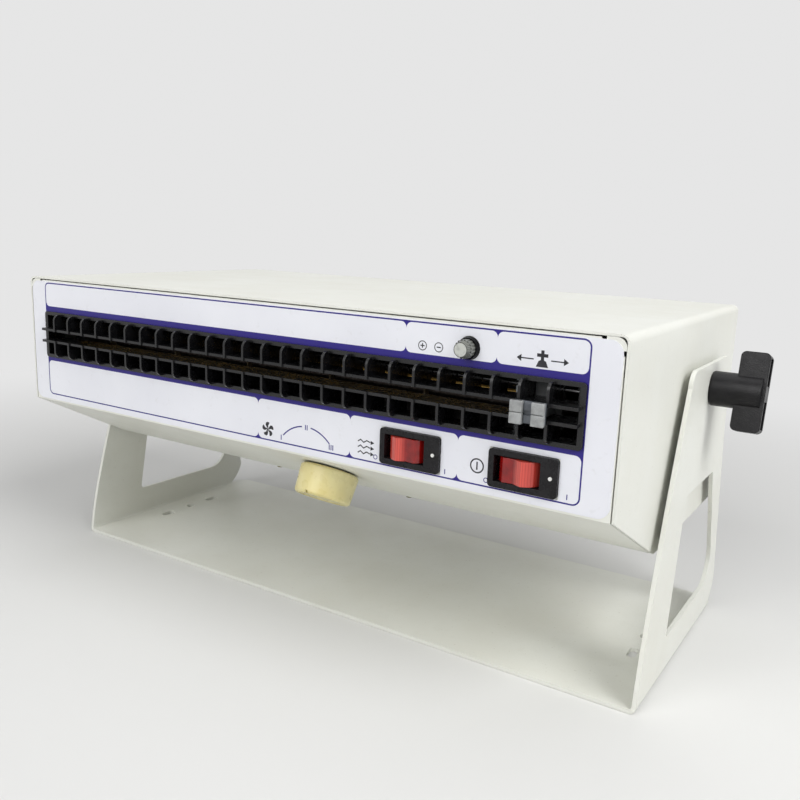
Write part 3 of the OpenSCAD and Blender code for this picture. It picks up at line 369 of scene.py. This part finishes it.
def make_finishes():
    """Every finish by the name that LOOKS uses. Colours are 8-bit, sizes are metres."""
    f = {}
    paint = Finish("powder_coat", (229, 230, 223), 0.42)
    paint.mottle((223, 223, 214), 0.09).mottle((215, 215, 205), 0.006, 0.55, 0.8, 0.25)
    paint.mottle((176, 172, 156), 0.0016, 0.72, 0.8, 0.35, 1.0)
    f["paint"] = paint.uneven_gloss(0.02, 0.06).soft_edges(0.0004).relief(0.0009, 0.00006, 3.0)
    film = Finish("label_film", (233, 234, 240), 0.36)
    film.mottle((226, 227, 234), 0.07).mottle((205, 204, 206), 0.004, 0.62, 0.8, 0.3)
    f["film"] = film.uneven_gloss(0.01, 0.07).relief(0.0006, 0.00001, 3.0)
    ink = Finish("print_blue", (46, 36, 126), 0.34, specular=0.3)
    f["ink_blue"] = ink.mottle((46, 37, 122), 0.01).uneven_gloss(0.006, 0.05).relief(0.0005, 0.00001)
    ink = Finish("print_black", (22, 21, 27), 0.4)
    f["ink_black"] = ink.mottle((38, 37, 45), 0.003).uneven_gloss(0.004, 0.05).relief(0.0005, 0.00001)
    plastic = Finish("grille_black", (11, 11, 13), 0.27, specular=0.5)
    plastic.mottle((18, 18, 20), 0.02, 0.45, 0.75).mottle((84, 82, 78), 0.0022, 0.7, 0.84, 0.25)
    f["black_plastic"] = plastic.uneven_gloss(0.005, 0.1).soft_edges(0.00025).relief(0.0004, 0.00004)
    plastic = Finish("knob_black", (16, 15, 17), 0.36, specular=0.25)
    plastic.mottle((26, 25, 27), 0.01, 0.4, 0.7)
    f["knob_black"] = plastic.uneven_gloss(0.004, 0.07).soft_edges(0.0006).relief(0.0007, 0.00012, 3.0)
    cream = Finish("knob_cream", (228, 219, 166), 0.3)
    cream.mottle((216, 203, 140), 0.02).mottle((190, 172, 110), 0.003, 0.6, 0.85, 0.35)
    cream.shader.inputs["Subsurface Weight"].default_value = 0.15
    cream.shader.inputs["Subsurface Radius"].default_value = (0.002, 0.0015, 0.0008)
    f["cream"] = cream.uneven_gloss(0.006, 0.08).soft_edges(0.0008).relief(0.0012, 0.00004)
    for name, node, side in (("red_warm", "warm_rocker", -1), ("red_power", "power_rocker", 1)):
        f[name] = rocker_red(name, node, side)
    bezel = Finish("bezel_black", (20, 19, 21), 0.28, specular=0.25)
    bezel.mottle((30, 29, 31), 0.008)
    f["bezel"] = bezel.uneven_gloss(0.004, 0.08).soft_edges(0.0004).relief(0.0005, 0.00004)
    grip = Finish("grip_grey", (158, 160, 160), 0.36)
    grip.mottle((128, 129, 129), 0.004, 0.4, 0.75).mottle((206, 207, 204), 0.0007, 0.6, 0.75, 0.5)
    f["grip"] = grip.uneven_gloss(0.003, 0.08).soft_edges(0.0003).relief(0.0005, 0.00004)
    recess = Finish("recess_grey", (84, 88, 94), 0.4)
    f["recess"] = recess.mottle((66, 70, 76), 0.003).relief(0.0005, 0.00003)
    arm = Finish("arm_grey", (120, 121, 122), 0.45)
    f["arm"] = arm.mottle((96, 97, 98), 0.004).soft_edges(0.0003).relief(0.0005, 0.00004)
    bristle = Finish("brush_grey", (110, 110, 108), 0.6)
    hairs = (1, 0.1, 1)
    f["brush"] = bristle.mottle((70, 70, 68), 0.0006, stretch=hairs).relief(0.0003, 0.0001, stretch=hairs)
    dot = Finish("print_white", (232, 232, 230), 0.4)
    f["white"] = dot.mottle((214, 214, 210), 0.002).relief(0.0004, 0.00001)
    f["lens"] = fluted_lens()
    ring_black = Finish("ring_black", (5, 5, 6), 0.24, specular=0.08)
    f["ring"] = ring_black.mottle((14, 14, 15), 0.002).uneven_gloss(0.002, 0.06).relief(0.0005, 0.00002)
    screw = Finish("screw_black", (38, 38, 40), 0.35, metal=0.6)
    screw.mottle((70, 68, 64), 0.002, 0.5, 0.8)
    f["black_screw"] = screw.soft_edges(0.0003).relief(0.0004, 0.00003)
    zinc = Finish("yellow_zinc", (150, 138, 96), 0.34, metal=0.9)
    zinc.mottle((120, 122, 90), 0.003).mottle((170, 140, 120), 0.002, 0.6, 0.8)
    f["yellow_zinc"] = zinc.soft_edges(0.0003).relief(0.0004, 0.00002)
    zinc = Finish("zinc_steel", (188, 189, 190), 0.3, metal=1.0)
    f["zinc"] = zinc.mottle((150, 151, 152), 0.003).uneven_gloss(0.002, 0.1).relief(0.0004, 0.00002)
    sheet = Finish("galvanised", (172, 175, 177), 0.38, metal=0.9)
    sheet.mottle((140, 144, 147), 0.012, 0.3, 0.7)
    f["galvanised"] = sheet.uneven_gloss(0.01, 0.12).relief(0.003, 0.00003)
    blade = Finish("wheel_metal", (150, 151, 153), 0.35, metal=0.9)
    f["wheel"] = blade.mottle((110, 110, 110), 0.01).uneven_gloss(0.004, 0.1).relief(0.0005, 0.00002)
    steel = Finish("steel", (180, 180, 181), 0.25, metal=1.0)
    drawn = (0.2, 1, 1)
    f["steel"] = steel.mottle((150, 150, 150), 0.002, stretch=drawn).relief(0.0004, 0.00002, stretch=drawn)
    bronze = Finish("bronze", (168, 128, 78), 0.4, metal=1.0)
    f["bronze"] = bronze.mottle((130, 96, 60), 0.002).relief(0.0003, 0.00003)
    core = Finish("lamination", (96, 78, 60), 0.5, metal=0.5)
    sheets = (1, 0.05, 0.05)
    core.mottle((70, 56, 44), 0.0008, stretch=sheets)
    f["lamination"] = core.relief(0.0005, 0.0001, stretch=sheets)
    mica = Finish("mica", (196, 178, 146), 0.6)
    mica.mottle((170, 148, 112), 0.006).mottle((210, 196, 168), 0.001, 0.55, 0.8)
    f["mica"] = mica.relief(0.0008, 0.00005)
    wire = Finish("heater_wire", (120, 112, 106), 0.42, metal=0.9)
    f["wire"] = wire.mottle((84, 72, 66), 0.002).relief(0.0003, 0.00003)
    amber = Finish("emitter_amber", (255, 208, 104), 0.3)
    amber.mottle((244, 190, 84), 0.008).mottle((246, 208, 122), 0.002, 0.6, 0.8, 0.6)
    # Painted shade: below 1.3 to 1.6 mm under its top the amber bar turns near black, the shade it lies in
    # behind the grille.
    height = amber.node("SeparateXYZ")
    amber.join(amber.place(), height.inputs[0])
    bar_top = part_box("emitter_bar")[1].z
    amber.blend(amber.ranged(height.outputs["Z"], bar_top - 1.3 * MM, bar_top - 1.6 * MM), (9, 9, 10))
    f["amber"] = amber.relief(0.0008, 0.00005)
    potting = Finish("potting_black", (44, 44, 46), 0.5)
    f["potting"] = potting.mottle((58, 58, 60), 0.006).relief(0.001, 0.00008)
    nylon = Finish("terminal_nylon", (214, 210, 194), 0.45)
    f["nylon"] = nylon.mottle((198, 192, 172), 0.006).soft_edges().relief(0.0006, 0.00003)
    brown = Finish("switch_phenolic", (120, 92, 64), 0.45)
    f["phenolic"] = brown.mottle((96, 72, 50), 0.004).relief(0.0006, 0.00004)
    foam = Finish("filter_foam", (44, 44, 45), 0.85)
    f["foam"] = foam.mottle((22, 22, 22), 0.0012, 0.4, 0.6).relief(0.0012, 0.0008, 3.0)
    washer = Finish("washer_nylon", (206, 206, 200), 0.4)
    f["washer"] = washer.mottle((188, 188, 180), 0.004).relief(0.0006, 0.00003)
    return {k: v.mat for k, v in f.items()}


LOOKS = {
    "paint": ("stand", "chassis", "cover"),
    "film": ("front_label",),
    "black_screw": ("cover_screws", "grille_screws"),
    "yellow_zinc": ("floor_screws",),
    "zinc": ("pivot_inserts", "inlet_screws", "inlet_pins", "speed_switch_nut",
             "left_clamp_stud", "right_clamp_stud"),
    "black_plastic": ("outlet_grille", "rear_grille", "mains_inlet"),
    "ring": ("indicator_ring",),
    "bezel": ("warm_bezel", "power_bezel"),
    "foam": ("air_filter",),
    "galvanised": ("scroll_casing", "outlet_tongue", "fan_end_plates", "motor_bracket"),
    "bronze": ("fan_bearings",),
    "wheel": ("fan_wheel",),
    "steel": ("fan_shaft", "motor_rotor", "emitter_needles", "cleaner_rail", "speed_spindle"),
    "lamination": ("motor_stator",),
    "mica": ("heater_frame",),
    "wire": ("heater_coils",),
    "amber": ("emitter_bar",),
    "potting": ("high_voltage_unit",),
    "nylon": ("terminal_block",),
    "cream": ("speed_knob",),
    "phenolic": ("speed_switch",),
    "red_warm": ("warm_rocker",),
    "red_power": ("power_rocker",),
    "white": ("switch_dots",),
    "lens": ("indicator_lens",),
    "grip": ("cleaner_grip",),
    "arm": ("cleaner_arm",),
    "brush": ("cleaner_brush",),
    "knob_black": ("left_clamp_knob", "right_clamp_knob"),
    "washer": ("stand_washers",),
}


def dress(finishes):
    """Puts a finish on every CAD node, in the slots that the node has."""
    for look, names in LOOKS.items():
        for name in names:
            for slot in nodes[name].material_slots:
                slot.material = finishes[look]


# ---------------------------------------------------------------- printed label

PRINT_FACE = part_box("front_label")[0].y
PRINT_T = 0.00003                # half the ink's thickness
PANEL_W, PANEL_TOP = 432 * MM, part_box("cover")[1].z
BOXES = 17.3, 414.3              # left and right ends of the label's boxes
BOX_R = 3.2                      # their corner radius
TOP_SPLITS = 316.1, 368.0        # where one box ends and the next begins
LOW_SPLITS = 215.3, 282.1, 349.3
DIAL = 251.5, 92.8               # the knob's axis, where the speed scale has its centre
DIAL_R = 22.8
BLADE = ((0.7, -20), (1.8, -38), (3.2, -34), (4.2, -20), (4.45, 0),
         (4.2, 16), (3.3, 14), (2.2, 4), (0.9, 30))     # radius in mm and angle in degrees


def arc(cx, cy, r, a0, a1, n=10):
    """Points on a circle from angle a0 to a1, in degrees."""
    return [(cx + r * math.cos(math.radians(a0 + (a1 - a0) * i / n)),
             cy + r * math.sin(math.radians(a0 + (a1 - a0) * i / n))) for i in range(n + 1)]


def rounded(x0, x1, d0, d1, r):
    """A box with rounded corners, from x0 to x1 across and from d0 to d1 down."""
    return (arc(x1 - r, d0 + r, r, -90, 0) + arc(x1 - r, d1 - r, r, 0, 90)
            + arc(x0 + r, d1 - r, r, 90, 180) + arc(x0 + r, d0 + r, r, 180, 270))


def joined_boxes(x0, x1, d0, d1, r, splits_low, splits_high):
    """Rounded boxes side by side: where two meet, their corners leave a spike of the colour behind."""
    top = []
    for x in splits_low:
        top += arc(x - r, d0 + r, r, -90, 0) + arc(x + r, d0 + r, r, 180, 270)[1:]
    bottom = []
    for x in reversed(splits_high):
        bottom += arc(x + r, d1 - r, r, 90, 180) + arc(x - r, d1 - r, r, 0, 90)[1:]
    return (top + arc(x1 - r, d0 + r, r, -90, 0) + arc(x1 - r, d1 - r, r, 0, 90)
            + bottom + arc(x0 + r, d1 - r, r, 90, 180) + arc(x0 + r, d0 + r, r, 180, 270))


def ring(cx, cy, r_out, r_in):
    return [arc(cx, cy, r, 0, 360, 40)[:-1] for r in (r_out, r_in)]


def bar(cx, cy, w, h):
    x0, x1, y0, y1 = cx - w / 2, cx + w / 2, cy - h / 2, cy + h / 2
    return [[(x0, y0), (x1, y0), (x1, y1), (x0, y1)]]


def add_piece(name, mesh, mat, body):
    mesh.materials.append(mat)
    o = bpy.data.objects.new(name, mesh)
    bpy.context.scene.collection.objects.link(o)
    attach(o, body)
    return o


def stroke(points, w):
    """The outline of a line of width w through some points, with mitred corners."""
    left, right = [], []
    for i, p in enumerate(points):
        before = Vector(points[max(i - 1, 0)])
        after = Vector(points[min(i + 1, len(points) - 1)])
        p = Vector(p)
        a = (p - before).normalized() if i else (after - p).normalized()
        b = (after - p).normalized() if i < len(points) - 1 else a
        na, nb = Vector((-a.y, a.x)), Vector((-b.y, b.x))
        n = (na + nb).normalized()
        n *= w / 2 / max(0.45, n.dot(na))
        left.append(tuple(p + n))
        right.append(tuple(p - n))
    return [left + right[::-1]]


def printed(name, shapes, mat):
    """Thin film of ink on the label: each shape is an outline and the outlines of its holes, in mm
    from the panel's left edge and down from its top."""
    verts, faces = [], []
    for loops in shapes:
        flat = [p for loop in loops for p in loop]
        tris = tessellate_polygon([[Vector((x, y, 0)) for x, y in loop] for loop in loops])
        base, n = len(verts), len(flat)
        for y in (PRINT_FACE - PRINT_T, PRINT_FACE + PRINT_T):
            verts += [(x * MM - PANEL_W / 2, y, PANEL_TOP - d * MM) for x, d in flat]
        for t in tris:
            a, b, c = (flat[i] for i in t)
            turn = (b[0] - a[0]) * (c[1] - a[1]) - (b[1] - a[1]) * (c[0] - a[0])
            t = tuple(t) if turn > 0 else tuple(t)[::-1]
            faces.append([base + i for i in t[::-1]])
            faces.append([base + n + i for i in t])
        start = 0
        for loop in loops:
            k = len(loop)
            for i in range(k):
                a, b = base + start + i, base + start + (i + 1) % k
                faces.append([a, b, b + n, a + n])
            start += k
    mesh = bpy.data.meshes.new(name)
    mesh.from_pydata(verts, [], faces)
    bm = bmesh.new()
    bm.from_mesh(mesh)
    bmesh.ops.recalc_face_normals(bm, faces=bm.faces)
    bm.to_mesh(mesh)
    bm.free()
    add_piece(name, mesh, mat, "housing")


def arrow_head(x, d, way, w=2.4, h=3.4):
    return [[(x, d), (x - way * w, d - h / 2), (x - way * w, d + h / 2)]]


def numeral(cx, d, count, h=3.0):
    """A Roman numeral of plain upright bars."""
    shapes = []
    for i in range(count):
        x = cx + (i - (count - 1) / 2) * 1.25
        shapes.append(bar(x, d, 0.62, h))
    return shapes


def fan_blade(cx, cy, turn):
    """One blade of a pinwheel: straight leading edge, swept trailing edge."""
    return [[(cx + r * math.cos(math.radians(a + turn)), cy + r * math.sin(math.radians(a + turn)))
             for r, a in BLADE]]


def make_label_print(finishes):
    blue, black = finishes["ink_blue"], finishes["ink_black"]
    grille_lo, grille_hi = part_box("outlet_grille")
    g0 = (grille_lo.x + PANEL_W / 2) / MM + 1.4
    g1 = (grille_hi.x + PANEL_W / 2) / MM - 1.4
    border = [
        rounded(16.5, 415.1, 3.4, 82.6, 4.0),
        joined_boxes(*BOXES, 4.2, 19.8, BOX_R, TOP_SPLITS, TOP_SPLITS),
        rounded(g0, g1, 24.8, 54.0, 1.5),
        joined_boxes(*BOXES, 58.2, 81.8, BOX_R, LOW_SPLITS, LOW_SPLITS),
    ]
    printed("print_border", [border], blue)

    dial = [stroke(arc(*DIAL, DIAL_R, a0, a1, 14), 0.75) for a0, a1 in ((-138, -98), (-82, -43))]
    dial += numeral(233.0, 79.0, 1) + numeral(DIAL[0], 70.4, 2) + numeral(269.3, 79.0, 3)
    printed("print_speed_scale", dial, blue)
    fan = [fan_blade(222.8, 75.9, k * 72 - 90) for k in range(5)]
    fan += [[arc(222.8, 75.9, 0.62, 0, 360, 16)[:-1]]]
    printed("print_fan_symbol", fan, black)

    signs = [ring(326.1, 15.5, 2.55, 2.1), bar(326.1, 15.5, 2.4, 0.6),
             bar(326.1, 14.73, 0.6, 0.95), bar(326.1, 16.27, 0.6, 0.95),
             ring(335.6, 15.5, 2.55, 2.1), bar(335.6, 15.5, 2.4, 0.6)]
    printed("print_ion_signs", signs, black)

    brush = [[(390.7, 11.0), (392.3, 11.0), (392.3, 12.6), (394.3, 12.6), (394.3, 14.2), (392.3, 14.2),
              (392.3, 15.6), (393.4, 16.2), (394.6, 19.0), (388.4, 19.0), (389.6, 16.2), (390.7, 15.6),
              (390.7, 14.2), (388.7, 14.2), (388.7, 12.6), (390.7, 12.6)]]
    arrows = [stroke([(387.1, 15.5), (380.4, 15.5)], 0.6), arrow_head(378.4, 15.5, -1),
              stroke([(395.9, 15.5), (402.6, 15.5)], 0.6), arrow_head(404.6, 15.5, 1)]
    printed("print_cleaner_symbol", [brush] + arrows, black)

    warm = []
    for d in (71.5, 74.7, 77.9):
        wave = ((287.6, 0.5), (289.4, -0.7), (291.4, 0.7), (293.4, -0.6), (295.8, 0.15))
        warm.append(stroke([(x, d + drop) for x, drop in wave], 0.62))
        warm.append(arrow_head(298.4, d + 0.2, 1, 2.4, 2.4))
    printed("print_warm_symbol", warm, black)
    power = [ring(360.6, 72.5, 3.9, 3.15), bar(360.6, 72.5, 0.8, 4.2)]
    printed("print_power_symbol", power, black)
    marks = []
    for off_x, on_x in ((299.3, 342.4), (365.9, 408.6)):
        marks += [ring(off_x, 79.0, 1.35, 0.95), bar(on_x, 79.0, 0.5, 2.7)]
    printed("print_off_on_marks", marks, blue)


# ---------------------------------------------------------------- cleaner's grip

GRIP_HALF_W = 8.6        # mm, as are the rest
GRIP_SHIFT = -1.4        # the photo's grip stands this far from the CAD one's middle
GRIP_GAP = 2.4           # from the middle to each finger block
SHARP = math.radians(35)


def slab(bm, lo, hi, edge=0.0003):
    """A block from corner lo to corner hi with rounded edges, in mm."""
    made = bmesh.ops.create_cube(bm, size=1)["verts"]
    for v in made:
        for i in range(3):
            v.co[i] = (lo[i] if v.co[i] < 0 else hi[i]) * MM
    edges = {e for v in made for e in v.link_edges}
    bmesh.ops.bevel(bm, geom=list(edges), offset=edge, segments=3, profile=0.5, affect="EDGES")


def solid(name, bm, mat, body):
    mesh = bpy.data.meshes.new(name)
    bmesh.ops.recalc_face_normals(bm, faces=bm.faces)
    bm.to_mesh(mesh)
    bm.free()
    for face in mesh.polygons:
        face.use_smooth = True
    mesh.set_sharp_from_angle(angle=SHARP)
    return add_piece(name, mesh, mat, body)


def make_cleaner_grip(finishes):
    """The cleaner's grip: a dark carrier across the slot and two finger blocks on it, each of two cells."""
    lo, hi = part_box("cleaner_grip")
    cx, cz = (lo.x + hi.x) / 2 / MM + GRIP_SHIFT, (lo.z + hi.z) / 2 / MM
    front, back = lo.y / MM, hi.y / MM
    half_w, half_h = GRIP_HALF_W, (hi.z - lo.z) / 2 / MM
    bm = bmesh.new()
    slab(bm, (cx - half_w + 0.5, back - 2.2, cz - half_h + 0.5), (cx + half_w - 0.5, back, cz + half_h - 0.5))
    for side in (-1, 1):
        reach = side * (half_h - 0.7)
        slab(bm, (cx - 2.2, back - 3.2, cz + min(side, reach) + 0.1),
             (cx + 2.2, back - 1.9, cz + max(side, reach) - 0.1), 0.0002)
    solid("cleaner_grip_carrier", bm, finishes["recess"], "cleaner")
    bm = bmesh.new()
    cells = 2
    step = 2 * half_h / cells
    for x0, x1 in ((cx - half_w, cx - GRIP_GAP), (cx + GRIP_GAP, cx + half_w)):
        slab(bm, (x0 + 0.25, front + 1.0, cz - half_h + 0.2), (x1 - 0.25, back - 2.0, cz + half_h - 0.2))
        for k in range(cells):
            z = cz - half_h + k * step
            slab(bm, (x0, front, z + 0.2), (x1, back - 2.6, z + step - 0.2), 0.00025)
    blocks = solid("cleaner_grip_blocks", bm, finishes["grip"], "cleaner")
    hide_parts("cleaner_grip")


# ---------------------------------------------------------------- the scene

bpy.context.scene.view_settings.view_transform = "Standard"
make_camera()
make_world()
for lamp in LAMPS:
    area_light(*lamp)
make_floor()
finishes = make_finishes()
dress(finishes)
make_label_print(finishes)
make_cleaner_grip(finishes)
